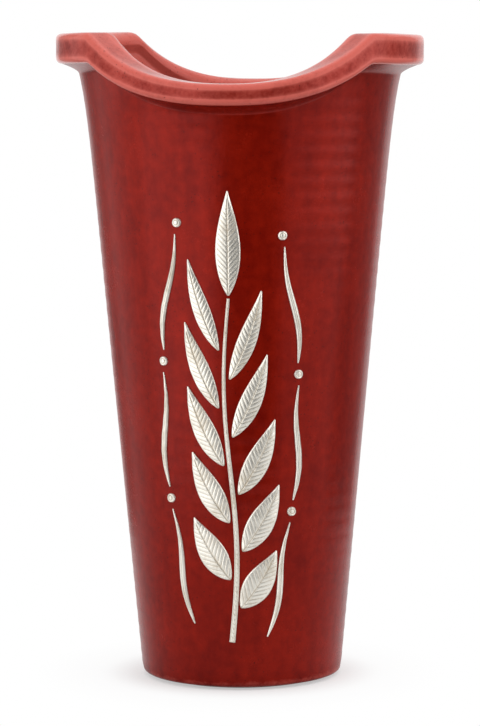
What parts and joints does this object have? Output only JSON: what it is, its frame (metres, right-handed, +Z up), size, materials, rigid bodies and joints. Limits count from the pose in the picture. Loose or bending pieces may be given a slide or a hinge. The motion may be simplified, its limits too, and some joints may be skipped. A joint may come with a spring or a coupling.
{
  "type": "stoneware vase",
  "caption": "Tall stoneware vase that widens from a small foot to a wide mouth with a flat, turned-out lip that dips like a saddle, and raised silver leaves on its front.",
  "frame": {"origin": "centre of the foot's underside, on the table", "axes": "+Z up along the vase's axis; the lip's two horns point along X; the silver decoration is on the front, towards -Y"},
  "size_m": [0.147, 0.147, 0.2597],
  "materials": {
    "red_glaze": "dark red glaze with a soft shine",
    "bare_stoneware": "bare fired stoneware",
    "silver": "soft polished silver"
  },
  "bodies": {
    "root": {"body_wall": "red_glaze", "saddle_lip": "red_glaze", "floor_disc": "red_glaze", "foot_ring": "bare_stoneware", "silver_stem": "silver", "silver_leaf_top": "silver", "silver_leaf_left_1": "silver", "silver_leaf_left_2": "silver", "silver_leaf_left_3": "silver", "silver_leaf_left_4": "silver", "silver_leaf_left_5": "silver", "silver_blade_left_1": "silver", "silver_blade_left_2": "silver", "silver_blade_left_3": "silver", "silver_bud_left_1": "silver", "silver_bud_left_2": "silver", "silver_bud_left_3": "silver", "silver_leaf_right_1": "silver", "silver_leaf_right_2": "silver", "silver_leaf_right_3": "silver", "silver_leaf_right_4": "silver", "silver_leaf_right_5": "silver", "silver_blade_right_1": "silver", "silver_blade_right_2": "silver", "silver_blade_right_3": "silver", "silver_bud_right_1": "silver", "silver_bud_right_2": "silver", "silver_bud_right_3": "silver"}
  },
  "joints": []
}
